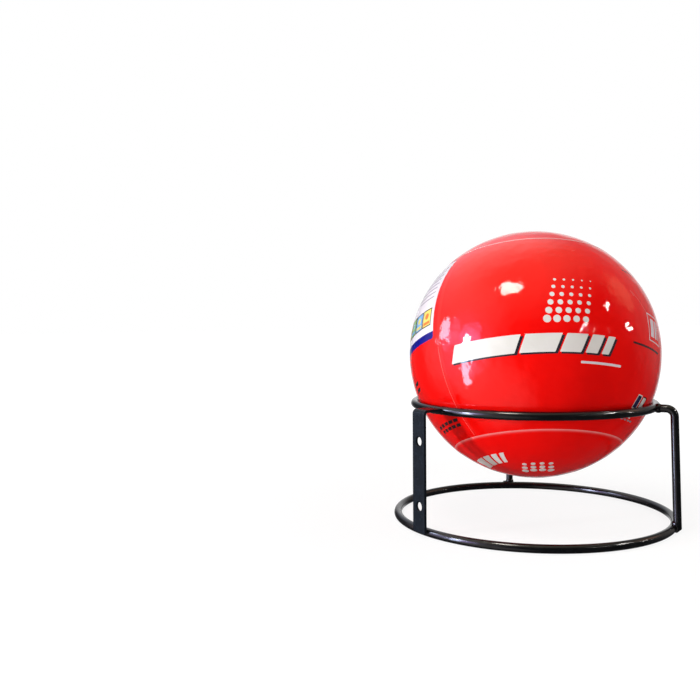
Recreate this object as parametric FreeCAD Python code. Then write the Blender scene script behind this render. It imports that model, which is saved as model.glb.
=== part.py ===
import FreeCAD
import Part
import math
import os
from FreeCAD import Vector

# A fire extinguisher ball resting in its black wire stand. Millimetres, +Z up.
# The origin is on the floor, on the vertical axis that the two rings share.
# The strap that screws to a wall faces -X. The ball is a sealed foam shell of
# two halves, full of powder, with a charge tube through its centre, fuse
# strands in grooves under its skin, and a shrunk film skin in three pieces.

# Ball and film skin
BALL_DIAMETER = 150.0
FILM_THICKNESS = 0.3
FILM_GAP = 0.05
TOP_CAP_ANGLE = 45.0
BOTTOM_CAP_ANGLE = 39.8
CAP_LAP = 3.0
CAP_JOGGLE = 0.8
SEAM_WIDTH = 3.0
SEAM_HEIGHT = 0.2
SEAM_AZIMUTH = 182.6
SEAM_END_CLEARANCE = 0.6

# How the ball happens to lie in its seat
BALL_TILT = 20.0
BALL_TILT_AZIMUTH = 55.2

# Foam shell
SHELL_WALL = 9.0
JOINT_LIP = 4.0
JOINT_CLEARANCE = 0.2
SOCKET_DEPTH = 8.0
SOCKET_WALL = 4.0
SOCKET_CLEARANCE = 0.1
MOUTH_NECK = 3.0
MOUTH_RIM = 1.5

# Charge, tube and fuse
TUBE_DIAMETER = 16.0
TUBE_WALL = 1.2
TUBE_END_THICKNESS = 3.0
TUBE_END_RECESS = 0.5
FUSE_COUNT = 2
FUSE_DIAMETER = 2.0
FUSE_CLEARANCE = 0.2
FUSE_COVER = 0.4
FUSE_BEND_RADIUS = 7.2
FUSE_RIM = 1.1
FUSE_DIP = 8.0
FUSE_AZIMUTH = 40.0
STOPPER_LIP_ANGLE = 105.0
INNER_CLEARANCE = 0.1

# Stand rings
ROD_DIAMETER = 4.8
SEAT_HEIGHT = 70.5
SEAT_LATITUDE = 22.4
SEAT_CLEARANCE = 0.05
RING_STEP = 10.8

# Rod legs
LEG_DIAMETER = 4.6
LEG_AZIMUTHS = (298.2, 56.9)
LEG_FOOT_OFFSET = 2.55
LEG_FOOT_HEIGHT = 0.4
LEG_FOOT_SLANT = 40.0
LEG_LEAN = 1.8
LEG_BEND_RADIUS = 4.5

# Wall strap
STRAP_WIDTH = 10.8
STRAP_THICKNESS = 1.5
STRAP_BEND_RADIUS = 1.2
STRAP_FOOT_HEIGHT = 2.2
STRAP_CORNER_RADIUS = 0.8
FLANGE_RISE = 0.6
HOLE_DIAMETER = 5.2
LOWER_HOLE_HEIGHT = 16.9
HOLE_SPACING = 36.9
HOLE_CHAMFER = 0.3

# Welds
WELD_CLEARANCE = 0.03
BUTT_BEAD = 0.35
BUTT_BEAD_LENGTH = 2.4
BUTT_GRINDING = 0.1
BASE_BUTT_AZIMUTH = 59.2
SEAT_BUTT_AZIMUTH = 61.6
LEG_BEAD = 0.45
FOOT_BEAD_INSET = 0.7
STRAP_BEAD_RADIUS = 1.1
STRAP_BEAD_INSET = 2.0

# Radii worked out for the ball
FILM_OUTER = BALL_DIAMETER / 2
FILM_INNER = FILM_OUTER - FILM_THICKNESS
LAP_INNER = FILM_OUTER + FILM_GAP
LAP_OUTER = LAP_INNER + FILM_THICKNESS
FOAM_OUTER = FILM_INNER - FILM_GAP
FOAM_INNER = FOAM_OUTER - SHELL_WALL
FOAM_MIDDLE = FOAM_OUTER - SHELL_WALL / 2

# Radii and heights worked out for the fuse, the mouths and the tube
FUSE_RADIUS = FUSE_DIAMETER / 2
FUSE_PATH = FOAM_OUTER - FUSE_COVER - FUSE_RADIUS
GROOVE_HALF_WIDTH = FUSE_RADIUS + FUSE_CLEARANCE
TUBE_OUTER = TUBE_DIAMETER / 2
TUBE_INNER = TUBE_OUTER - TUBE_WALL
DISC_RADIUS = TUBE_INNER - INNER_CLEARANCE
FUSE_PITCH_RADIUS = DISC_RADIUS - FUSE_RIM - GROOVE_HALF_WIDTH
BEND_X = FUSE_PITCH_RADIUS + FUSE_BEND_RADIUS
BEND_Z = math.sqrt((FUSE_PATH - FUSE_BEND_RADIUS) ** 2 - BEND_X ** 2)
BEND_CENTRE_RADIUS = FUSE_PATH - FUSE_BEND_RADIUS
BEND_ANGLE = math.degrees(math.atan2(BEND_Z, BEND_X))
MOUTH_FLOOR = FUSE_PATH - GROOVE_HALF_WIDTH - INNER_CLEARANCE
MOUTH_CURVE = MOUTH_FLOOR - BEND_CENTRE_RADIUS
MOUTH_NARROW = BEND_X - MOUTH_CURVE
MOUTH_ANGLE = 90 - BEND_ANGLE + math.degrees(MOUTH_RIM / FOAM_OUTER)
SHOULDER_Z = BEND_Z - MOUTH_NECK
TUBE_END_Z = SHOULDER_Z - INNER_CLEARANCE
SOCKET_INNER = TUBE_OUTER + SOCKET_CLEARANCE
SOCKET_OUTER = SOCKET_INNER + SOCKET_WALL
SOCKET_END_Z = SHOULDER_Z - SOCKET_DEPTH
DISC_OUTER_Z = TUBE_END_Z - TUBE_END_RECESS
DISC_INNER_Z = DISC_OUTER_Z - TUBE_END_THICKNESS
CHARGE_END_Z = DISC_INNER_Z - INNER_CLEARANCE
FUSE_END_Z = CHARGE_END_Z - FUSE_DIP
STOPPER_CURVE = FUSE_BEND_RADIUS + FUSE_RADIUS + FUSE_CLEARANCE
STOPPER_STEM = BEND_X - STOPPER_CURVE

# Radii and places worked out for the stand
ROD_RADIUS = ROD_DIAMETER / 2
LEG_RADIUS = LEG_DIAMETER / 2
SEAT_REACH = FILM_OUTER + SEAM_HEIGHT + SEAT_CLEARANCE + ROD_RADIUS
SEAT_RING_RADIUS = SEAT_REACH * math.cos(math.radians(SEAT_LATITUDE))
BALL_HEIGHT = SEAT_HEIGHT + SEAT_REACH * math.sin(math.radians(SEAT_LATITUDE))
BASE_RING_RADIUS = SEAT_RING_RADIUS + RING_STEP
STRAP_INNER_X = BASE_RING_RADIUS + ROD_RADIUS + WELD_CLEARANCE
STRAP_OUTER_X = STRAP_INNER_X + STRAP_THICKNESS
FLANGE_Z = SEAT_HEIGHT + FLANGE_RISE
LEG_FOOT_RADIUS = BASE_RING_RADIUS + LEG_FOOT_OFFSET
LEG_TOP_RADIUS = LEG_FOOT_RADIUS - SEAT_HEIGHT * math.tan(math.radians(LEG_LEAN))

ORIGIN = Vector(0, 0, 0)
UP = Vector(0, 0, 1)


def point(radius, height):
    """A point of a profile in the XZ plane."""
    return Vector(radius, 0, height)


def on_sphere(radius, angle):
    """A profile point on a sphere, by its angle from the pole."""
    turn = math.radians(angle)
    return point(radius * math.sin(turn), radius * math.cos(turn))


def on_bend(radius, angle):
    """A profile point on a circle round the fuse's bend centre."""
    turn = math.radians(angle)
    return point(BEND_X + radius * math.cos(turn), BEND_Z + radius * math.sin(turn))


def line(start, end):
    return Part.LineSegment(start, end).toShape()


def arc(start, middle, end):
    return Part.Arc(start, middle, end).toShape()


def sphere_arc(radius, start, end):
    """An arc of a sphere's profile between two angles from the pole."""
    middle = (start + end) / 2
    return arc(on_sphere(radius, start), on_sphere(radius, middle), on_sphere(radius, end))


def angle_of(radius, height):
    """The angle from the pole at which a sphere has the given height."""
    return math.degrees(math.acos(height / radius))


def arc_degrees(length, radius):
    """The angle that a length covers on a circle."""
    return math.degrees(length / radius)


def spin(edges, degrees=360.0):
    """The solid that a closed profile sweeps about the Z axis."""
    return Part.Face(Part.Wire(edges)).revolve(ORIGIN, UP, degrees)


def turned(shape, azimuth):
    """A copy of a shape, turned about the Z axis."""
    copy = shape.copy()
    copy.rotate(ORIGIN, UP, azimuth)
    return copy


def flipped(shape):
    """A copy of a shape, turned over so that its pole points down."""
    copy = shape.copy()
    copy.rotate(ORIGIN, Vector(1, 0, 0), 180)
    return copy


def tube_along(path, radius, start, direction):
    """A round rod whose centre follows a smooth path."""
    section = Part.Wire(Part.makeCircle(radius, start, direction))
    return path.makePipeShell([section], True, False)


def cap_film(cap_angle):
    """A dome of film about the upper pole, its rim stepped out over the body film."""
    joggle_end = cap_angle - arc_degrees(CAP_LAP, FILM_OUTER)
    joggle_start = joggle_end - arc_degrees(CAP_JOGGLE, FILM_OUTER)
    return spin([
        sphere_arc(FILM_INNER, 0, joggle_start),
        line(on_sphere(FILM_INNER, joggle_start), on_sphere(LAP_INNER, joggle_end)),
        sphere_arc(LAP_INNER, joggle_end, cap_angle),
        line(on_sphere(LAP_INNER, cap_angle), on_sphere(LAP_OUTER, cap_angle)),
        sphere_arc(LAP_OUTER, cap_angle, joggle_end),
        line(on_sphere(LAP_OUTER, joggle_end), on_sphere(FILM_OUTER, joggle_start)),
        sphere_arc(FILM_OUTER, joggle_start, 0),
        line(on_sphere(FILM_OUTER, 0), on_sphere(FILM_INNER, 0)),
    ])


def film_band(inner, outer, start, end, degrees=360.0):
    """A band of film between two angles from the upper pole."""
    return spin([
        sphere_arc(inner, start, end),
        line(on_sphere(inner, end), on_sphere(outer, end)),
        sphere_arc(outer, end, start),
        line(on_sphere(outer, start), on_sphere(inner, start)),
    ], degrees)


def body_film():
    """The sleeve shrunk round the ball's middle, with its lapped side seam."""
    tuck = arc_degrees(CAP_LAP - FILM_THICKNESS, FILM_OUTER)
    lower_edge = 180 - BOTTOM_CAP_ANGLE
    sleeve = film_band(FILM_INNER, FILM_OUTER, TOP_CAP_ANGLE - tuck, lower_edge + tuck)
    stop = arc_degrees(SEAM_END_CLEARANCE, FILM_OUTER)
    width = arc_degrees(SEAM_WIDTH, FILM_OUTER)
    middle = FILM_OUTER - FILM_THICKNESS / 2
    raised = FILM_OUTER + SEAM_HEIGHT
    seam = film_band(middle, raised, TOP_CAP_ANGLE + stop, lower_edge - stop, width)
    return sleeve.fuse(turned(seam, SEAM_AZIMUTH - width / 2))


def shell_profile(lip_edges, inner_end):
    """The section of a foam half from its outer equator up round the mouth and socket."""
    bell_middle = (180 + BEND_ANGLE) / 2
    wall_height = math.sqrt(FOAM_INNER ** 2 - SOCKET_OUTER ** 2)
    return [
        sphere_arc(FOAM_OUTER, 90, MOUTH_ANGLE),
        line(on_sphere(FOAM_OUTER, MOUTH_ANGLE), on_sphere(MOUTH_FLOOR, MOUTH_ANGLE)),
        sphere_arc(MOUTH_FLOOR, MOUTH_ANGLE, 90 - BEND_ANGLE),
        arc(
            on_bend(MOUTH_CURVE, BEND_ANGLE),
            on_bend(MOUTH_CURVE, bell_middle),
            on_bend(MOUTH_CURVE, 180),
        ),
        line(point(MOUTH_NARROW, BEND_Z), point(MOUTH_NARROW, SHOULDER_Z)),
        line(point(MOUTH_NARROW, SHOULDER_Z), point(SOCKET_INNER, SHOULDER_Z)),
        line(point(SOCKET_INNER, SHOULDER_Z), point(SOCKET_INNER, SOCKET_END_Z)),
        line(point(SOCKET_INNER, SOCKET_END_Z), point(SOCKET_OUTER, SOCKET_END_Z)),
        line(point(SOCKET_OUTER, SOCKET_END_Z), point(SOCKET_OUTER, wall_height)),
        sphere_arc(FOAM_INNER, angle_of(FOAM_INNER, wall_height), inner_end),
    ] + lip_edges


def fuse_groove():
    """The groove that one strand lies in: a round bottom under an open slot."""
    rim = FOAM_OUTER + FILM_THICKNESS
    half = GROOVE_HALF_WIDTH
    profile = Part.Wire([
        line(Vector(half, 0, FUSE_PATH), Vector(half, 0, rim)),
        line(Vector(half, 0, rim), Vector(-half, 0, rim)),
        line(Vector(-half, 0, rim), Vector(-half, 0, FUSE_PATH)),
        arc(
            Vector(-half, 0, FUSE_PATH),
            Vector(0, 0, FUSE_PATH - half),
            Vector(half, 0, FUSE_PATH),
        ),
    ])
    half_turn = Part.Face(profile).revolve(ORIGIN, Vector(1, 0, 0), -180)
    return turned(half_turn, -90)


def fuse_azimuths():
    return [FUSE_AZIMUTH + number * 360 / FUSE_COUNT for number in range(FUSE_COUNT)]


def grooved(half, groove):
    """A foam half with a groove for each strand."""
    for azimuth in fuse_azimuths():
        half = half.cut(turned(groove, azimuth))
    return half


def top_shell():
    """The upper foam half, whose inner lip plugs into the lower one."""
    lip_radius = FOAM_MIDDLE - JOINT_CLEARANCE / 2
    lip_angle = angle_of(FOAM_INNER, -JOINT_LIP)
    lip_inner = on_sphere(FOAM_INNER, lip_angle)
    edges = shell_profile([
        line(lip_inner, point(lip_radius, -JOINT_LIP)),
        line(point(lip_radius, -JOINT_LIP), point(lip_radius, 0)),
        line(point(lip_radius, 0), point(FOAM_OUTER, 0)),
    ], lip_angle)
    return grooved(spin(edges), fuse_groove())


def bottom_shell():
    """The lower foam half, made pole up with its rebate and then turned over."""
    rebate_radius = FOAM_MIDDLE + JOINT_CLEARANCE / 2
    rebate = JOINT_LIP + JOINT_CLEARANCE
    rebate_angle = angle_of(FOAM_INNER, rebate)
    edges = shell_profile([
        line(on_sphere(FOAM_INNER, rebate_angle), point(rebate_radius, rebate)),
        line(point(rebate_radius, rebate), point(rebate_radius, 0)),
        line(point(rebate_radius, 0), point(FOAM_OUTER, 0)),
    ], rebate_angle)
    return grooved(flipped(spin(edges)), fuse_groove())


def powder():
    """The powder that fills the shell round the tube and its two sockets."""
    outer = FOAM_INNER - INNER_CLEARANCE
    core = TUBE_OUTER + INNER_CLEARANCE
    step = SOCKET_OUTER + INNER_CLEARANCE
    step_z = SOCKET_END_Z - INNER_CLEARANCE
    top_angle = math.degrees(math.asin(step / outer))
    return spin([
        line(point(core, -step_z), point(core, step_z)),
        line(point(core, step_z), point(step, step_z)),
        line(point(step, step_z), on_sphere(outer, top_angle)),
        sphere_arc(outer, top_angle, 180 - top_angle),
        line(on_sphere(outer, 180 - top_angle), point(step, -step_z)),
        line(point(step, -step_z), point(core, -step_z)),
    ])


def charge_tube():
    """The paper tube through the centre, held in both sockets."""
    length = 2 * TUBE_END_Z
    foot = Vector(0, 0, -TUBE_END_Z)
    outer = Part.makeCylinder(TUBE_OUTER, length, foot, UP)
    return outer.cut(Part.makeCylinder(TUBE_INNER, length, foot, UP))


def strand_holes(radius, low, high):
    """The upright drillings that let the strands through."""
    foot = Vector(FUSE_PITCH_RADIUS, 0, low)
    hole = Part.makeCylinder(radius, high - low, foot, UP)
    return [turned(hole, azimuth) for azimuth in fuse_azimuths()]


def tube_end():
    """The disc that closes the tube and guides the strands."""
    foot = Vector(0, 0, DISC_INNER_Z)
    disc = Part.makeCylinder(DISC_RADIUS, TUBE_END_THICKNESS, foot, UP)
    return disc.cut(strand_holes(GROOVE_HALF_WIDTH, DISC_INNER_Z, DISC_OUTER_Z))


def burst_charge():
    """The charge packed in the tube, with the strands' ends dipped into it."""
    foot = Vector(0, 0, -CHARGE_END_Z)
    body = Part.makeCylinder(DISC_RADIUS, 2 * CHARGE_END_Z, foot, UP)
    radius = FUSE_RADIUS + INNER_CLEARANCE
    pocket_end = FUSE_END_Z - INNER_CLEARANCE
    pockets = strand_holes(radius, pocket_end, CHARGE_END_Z)
    pockets += strand_holes(radius, -CHARGE_END_Z, -pocket_end)
    return body.cut(pockets)


def fuse_strand():
    """A strand from the charge, out of one mouth, down the shell and in at the other."""
    top = 90 - BEND_ANGLE
    bend_middle = (180 + BEND_ANGLE) / 2
    upper = [
        line(point(FUSE_PITCH_RADIUS, FUSE_END_Z), point(FUSE_PITCH_RADIUS, BEND_Z)),
        arc(
            on_bend(FUSE_BEND_RADIUS, 180),
            on_bend(FUSE_BEND_RADIUS, bend_middle),
            on_bend(FUSE_BEND_RADIUS, BEND_ANGLE),
        ),
    ]
    lower = [edge.mirror(ORIGIN, UP) for edge in reversed(upper)]
    around = sphere_arc(FUSE_PATH, top, 180 - top)
    path = Part.Wire(upper + [around] + lower)
    return tube_along(path, FUSE_RADIUS, point(FUSE_PITCH_RADIUS, FUSE_END_Z), UP)


def stopper():
    """The flat-topped stopper that closes a mouth and presses the strands to its curve."""
    stem_end = DISC_OUTER_Z + FUSE_CLEARANCE
    under_middle = (180 + STOPPER_LIP_ANGLE) / 2
    lip = on_bend(STOPPER_CURVE, STOPPER_LIP_ANGLE)
    rim = on_sphere(FOAM_OUTER, math.degrees(math.atan2(lip.x, lip.z)))
    return spin([
        line(point(0, stem_end), point(STOPPER_STEM, stem_end)),
        line(point(STOPPER_STEM, stem_end), point(STOPPER_STEM, BEND_Z)),
        arc(
            on_bend(STOPPER_CURVE, 180),
            on_bend(STOPPER_CURVE, under_middle),
            lip,
        ),
        line(lip, rim),
        line(rim, point(0, rim.z)),
        line(point(0, rim.z), point(0, stem_end)),
    ])


def ball_pieces():
    """Every piece of the ball, built upright about its own centre."""
    pieces = {
        "film_body": body_film(),
        "film_cap_top": cap_film(TOP_CAP_ANGLE),
        "film_cap_bottom": flipped(cap_film(BOTTOM_CAP_ANGLE)),
        "foam_shell_top": top_shell(),
        "foam_shell_bottom": bottom_shell(),
        "stopper_top": stopper(),
        "stopper_bottom": flipped(stopper()),
        "powder_fill": powder(),
        "charge_tube": charge_tube(),
        "tube_end_top": tube_end(),
        "tube_end_bottom": tube_end().mirror(ORIGIN, UP),
        "burst_charge": burst_charge(),
    }
    strand = fuse_strand()
    for number, azimuth in enumerate(fuse_azimuths(), start=1):
        pieces["fuse_strand_%d" % number] = turned(strand, azimuth)
    return pieces


def seated(shape):
    """A ball piece, tilted as the ball lies and set down in the seat ring."""
    lean = math.radians(BALL_TILT_AZIMUTH)
    hinge = Vector(-math.sin(lean), math.cos(lean), 0)
    copy = shape.copy()
    copy.rotate(ORIGIN, hinge, BALL_TILT)
    copy.translate(Vector(0, 0, BALL_HEIGHT))
    return copy


def ring(radius, height, rod_radius=ROD_RADIUS):
    return Part.makeTorus(radius, rod_radius, Vector(0, 0, height), UP)


def rod_leg():
    """A leg in the XZ plane, coped to both rings: up from the base and bent in level."""
    lean = math.radians(LEG_LEAN)
    foot = point(LEG_FOOT_RADIUS - LEG_FOOT_HEIGHT * math.tan(lean), LEG_FOOT_HEIGHT)
    corner = point(LEG_TOP_RADIUS, SEAT_HEIGHT)
    rise = corner.sub(foot).normalize()
    inward = Vector(-1, 0, 0)
    setback = LEG_BEND_RADIUS * math.tan((math.pi / 2 - lean) / 2)
    bend_start = corner.sub(rise * setback)
    bend_end = corner.add(inward * setback)
    centre = bend_end.sub(UP * LEG_BEND_RADIUS)
    outward = corner.sub(centre).normalize()
    path = Part.Wire([
        line(foot, bend_start),
        arc(bend_start, centre.add(outward * LEG_BEND_RADIUS), bend_end),
        line(bend_end, point(SEAT_RING_RADIUS, SEAT_HEIGHT)),
    ])
    rod = tube_along(path, LEG_RADIUS, foot, rise)
    cope = ROD_RADIUS + WELD_CLEARANCE
    rod = rod.cut(ring(SEAT_RING_RADIUS, SEAT_HEIGHT, cope))
    rod = rod.cut(ring(BASE_RING_RADIUS, ROD_RADIUS, cope))
    rod = rod.cut(foot_grinding())
    return max(rod.Solids, key=lambda solid: solid.Volume)


def foot_grinding():
    """The wedge that is ground off the outer side of a leg's foot."""
    inner = LEG_FOOT_RADIUS
    outer = LEG_FOOT_RADIUS + LEG_DIAMETER
    rim = LEG_FOOT_HEIGHT + LEG_DIAMETER * math.tan(math.radians(LEG_FOOT_SLANT))
    corners = [
        point(inner, LEG_FOOT_HEIGHT),
        point(outer, rim),
        point(outer, -LEG_DIAMETER),
        point(inner, -LEG_DIAMETER),
    ]
    profile = Part.Face(Part.makePolygon(corners + corners[:1]))
    profile.translate(Vector(0, -LEG_DIAMETER, 0))
    return profile.extrude(Vector(0, 2 * LEG_DIAMETER, 0))


def wall_strap():
    """The flat strap on the wall side, its top bent in to the seat ring."""
    inner = -STRAP_INNER_X
    outer = -STRAP_OUTER_X
    under = FLANGE_Z - STRAP_THICKNESS / 2
    over = FLANGE_Z + STRAP_THICKNESS / 2
    small = STRAP_BEND_RADIUS
    large = STRAP_BEND_RADIUS + STRAP_THICKNESS
    slant = math.sqrt(0.5)
    bend_x = inner + small
    bend_z = under - small
    section = Part.Wire([
        line(point(outer, STRAP_FOOT_HEIGHT), point(inner, STRAP_FOOT_HEIGHT)),
        line(point(inner, STRAP_FOOT_HEIGHT), point(inner, bend_z)),
        arc(
            point(inner, bend_z),
            point(bend_x - small * slant, bend_z + small * slant),
            point(bend_x, under),
        ),
        line(point(bend_x, under), point(-SEAT_RING_RADIUS, under)),
        line(point(-SEAT_RING_RADIUS, under), point(-SEAT_RING_RADIUS, over)),
        line(point(-SEAT_RING_RADIUS, over), point(bend_x, over)),
        arc(
            point(bend_x, over),
            point(bend_x - large * slant, bend_z + large * slant),
            point(outer, bend_z),
        ),
        line(point(outer, bend_z), point(outer, STRAP_FOOT_HEIGHT)),
    ])
    strap = Part.Face(section).extrude(Vector(0, STRAP_WIDTH, 0))
    strap.translate(Vector(0, -STRAP_WIDTH / 2, 0))
    strap = strap.cut(ring(SEAT_RING_RADIUS, SEAT_HEIGHT, ROD_RADIUS + WELD_CLEARANCE))
    strap = max(strap.Solids, key=lambda solid: solid.Volume)
    strap = strap.makeFillet(STRAP_CORNER_RADIUS, foot_corners(strap))
    for height in (LOWER_HOLE_HEIGHT, LOWER_HOLE_HEIGHT + HOLE_SPACING):
        strap = strap.cut(screw_hole(height))
    return strap


def foot_corners(strap):
    """The two short edges at the strap's lower corners."""
    corners = []
    for edge in strap.Edges:
        box = edge.BoundBox
        level = box.ZLength < 0.001 and abs(box.ZMin - STRAP_FOOT_HEIGHT) < 0.001
        if level and box.YLength < 0.001:
            corners.append(edge)
    return corners


def screw_hole(height):
    """A punched hole through the strap, eased at its outer rim."""
    radius = HOLE_DIAMETER / 2
    inward = Vector(1, 0, 0)
    face = Vector(-STRAP_OUTER_X, 0, height)
    bore = Part.makeCylinder(radius, STRAP_THICKNESS, face, inward)
    rim = Part.makeCone(radius + HOLE_CHAMFER, radius, HOLE_CHAMFER, face, inward)
    return bore.fuse(rim)


def rod_point(radius, azimuth, height):
    turn = math.radians(azimuth)
    return Vector(radius * math.cos(turn), radius * math.sin(turn), height)


def strap_bead(x, z):
    """A run of weld across the strap, rounded at its ends."""
    run = STRAP_WIDTH - 2 * STRAP_BEAD_INSET
    start = Vector(x, -run / 2, z)
    end = Vector(x, run / 2, z)
    bead = Part.makeCylinder(STRAP_BEAD_RADIUS, run, start, Vector(0, 1, 0))
    tips = [Part.makeSphere(STRAP_BEAD_RADIUS, tip) for tip in (start, end)]
    return bead.fuse(tips).removeSplitter()


def butt_bead(radius, azimuth, height, proud_angle):
    """The bead round a ring's butt joint, proud on one side and ground off on the other."""
    proud = math.radians(proud_angle)
    shift = BUTT_BEAD + BUTT_GRINDING
    centre = Vector(0, 0, height + shift * math.sin(proud))
    radius = radius + shift * math.cos(proud)
    sweep = arc_degrees(BUTT_BEAD_LENGTH, radius)
    bead = Part.makeTorus(radius, ROD_RADIUS + BUTT_BEAD, centre, UP, 0, 360, sweep)
    return turned(bead, azimuth - sweep / 2)


def weld_blobs():
    """Raw weld metal at each joint, before the parts that it joins are taken out."""
    leg = LEG_RADIUS + LEG_BEAD
    seat_side = SEAT_RING_RADIUS + ROD_RADIUS
    foot_side = LEG_FOOT_RADIUS - FOOT_BEAD_INSET
    blobs = [
        butt_bead(BASE_RING_RADIUS, BASE_BUTT_AZIMUTH, ROD_RADIUS, 90),
        butt_bead(SEAT_RING_RADIUS, SEAT_BUTT_AZIMUTH, SEAT_HEIGHT, -SEAT_LATITUDE),
    ]
    for azimuth in LEG_AZIMUTHS:
        blobs.append(Part.makeSphere(leg, rod_point(seat_side, azimuth, SEAT_HEIGHT)))
        blobs.append(Part.makeSphere(leg, rod_point(foot_side, azimuth, ROD_DIAMETER)))
    half = STRAP_THICKNESS / 2
    blobs.append(strap_bead(-seat_side, FLANGE_Z - half))
    blobs.append(strap_bead(-STRAP_INNER_X, ROD_DIAMETER))
    return blobs


def weld_beads(stand):
    """The weld metal that is left round the joints."""
    blobs = weld_blobs()
    metal = blobs[0].fuse(blobs[1:]).cut(stand)
    return Part.makeCompound(metal.Solids)


def stand_pieces():
    """Every piece of the stand, in place."""
    leg = rod_leg()
    pieces = {
        "base_ring": ring(BASE_RING_RADIUS, ROD_RADIUS),
        "seat_ring": ring(SEAT_RING_RADIUS, SEAT_HEIGHT),
        "wall_strap": wall_strap(),
    }
    for number, azimuth in enumerate(LEG_AZIMUTHS, start=1):
        pieces["rod_leg_%d" % number] = turned(leg, azimuth)
    pieces["weld_beads"] = weld_beads(list(pieces.values()))
    return pieces


def main():
    os.makedirs("parts", exist_ok=True)
    pieces = stand_pieces()
    for name, shape in ball_pieces().items():
        pieces[name] = seated(shape)
    for name, shape in pieces.items():
        shape.exportStep("parts/%s.step" % name)
        print("%-18s solids %d  volume %.1f mm3" % (name, len(shape.Solids), shape.Volume))


main()
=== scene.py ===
"""Looks of a fire extinguisher ball resting in its black wire stand.

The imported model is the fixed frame, in metres.  The stand keeps its solids and gets its coat.  The
film skin of the ball is made again as a thin crinkled skin, and its print lies on it as ink.
"""

import itertools
import logging
import math
from dataclasses import dataclass, field
from enum import Enum

import bpy
import numpy as np
from mathutils import Matrix, Vector


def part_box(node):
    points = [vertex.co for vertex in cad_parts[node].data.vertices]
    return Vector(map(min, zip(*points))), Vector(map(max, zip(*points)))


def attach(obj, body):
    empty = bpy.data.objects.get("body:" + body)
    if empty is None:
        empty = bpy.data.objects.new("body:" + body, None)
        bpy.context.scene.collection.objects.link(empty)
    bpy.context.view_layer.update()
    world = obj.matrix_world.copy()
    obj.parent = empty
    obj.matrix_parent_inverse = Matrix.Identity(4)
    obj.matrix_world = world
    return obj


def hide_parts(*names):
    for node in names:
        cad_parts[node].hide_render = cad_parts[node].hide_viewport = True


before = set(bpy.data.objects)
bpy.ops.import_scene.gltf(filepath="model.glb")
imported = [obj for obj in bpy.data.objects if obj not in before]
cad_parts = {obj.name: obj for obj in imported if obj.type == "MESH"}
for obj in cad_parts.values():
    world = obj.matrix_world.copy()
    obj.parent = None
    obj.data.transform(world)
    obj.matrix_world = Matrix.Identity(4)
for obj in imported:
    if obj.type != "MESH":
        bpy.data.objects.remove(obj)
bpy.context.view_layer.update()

LOG = logging.getLogger("extinguisher_ball")
MM = 0.001
BODY = "root"
BALL_RADIUS = 75.0
TOP_RIM = 45.0
BOTTOM_RIM = -49.7
CRINKLE_SEED = 11
RULE_SEED = 5
Colour = tuple[float, float, float]


def rgba(colour: Colour) -> tuple[float, float, float, float]:
    """A linear colour as Blender's four numbers."""
    return (*colour, 1.0)


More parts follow.
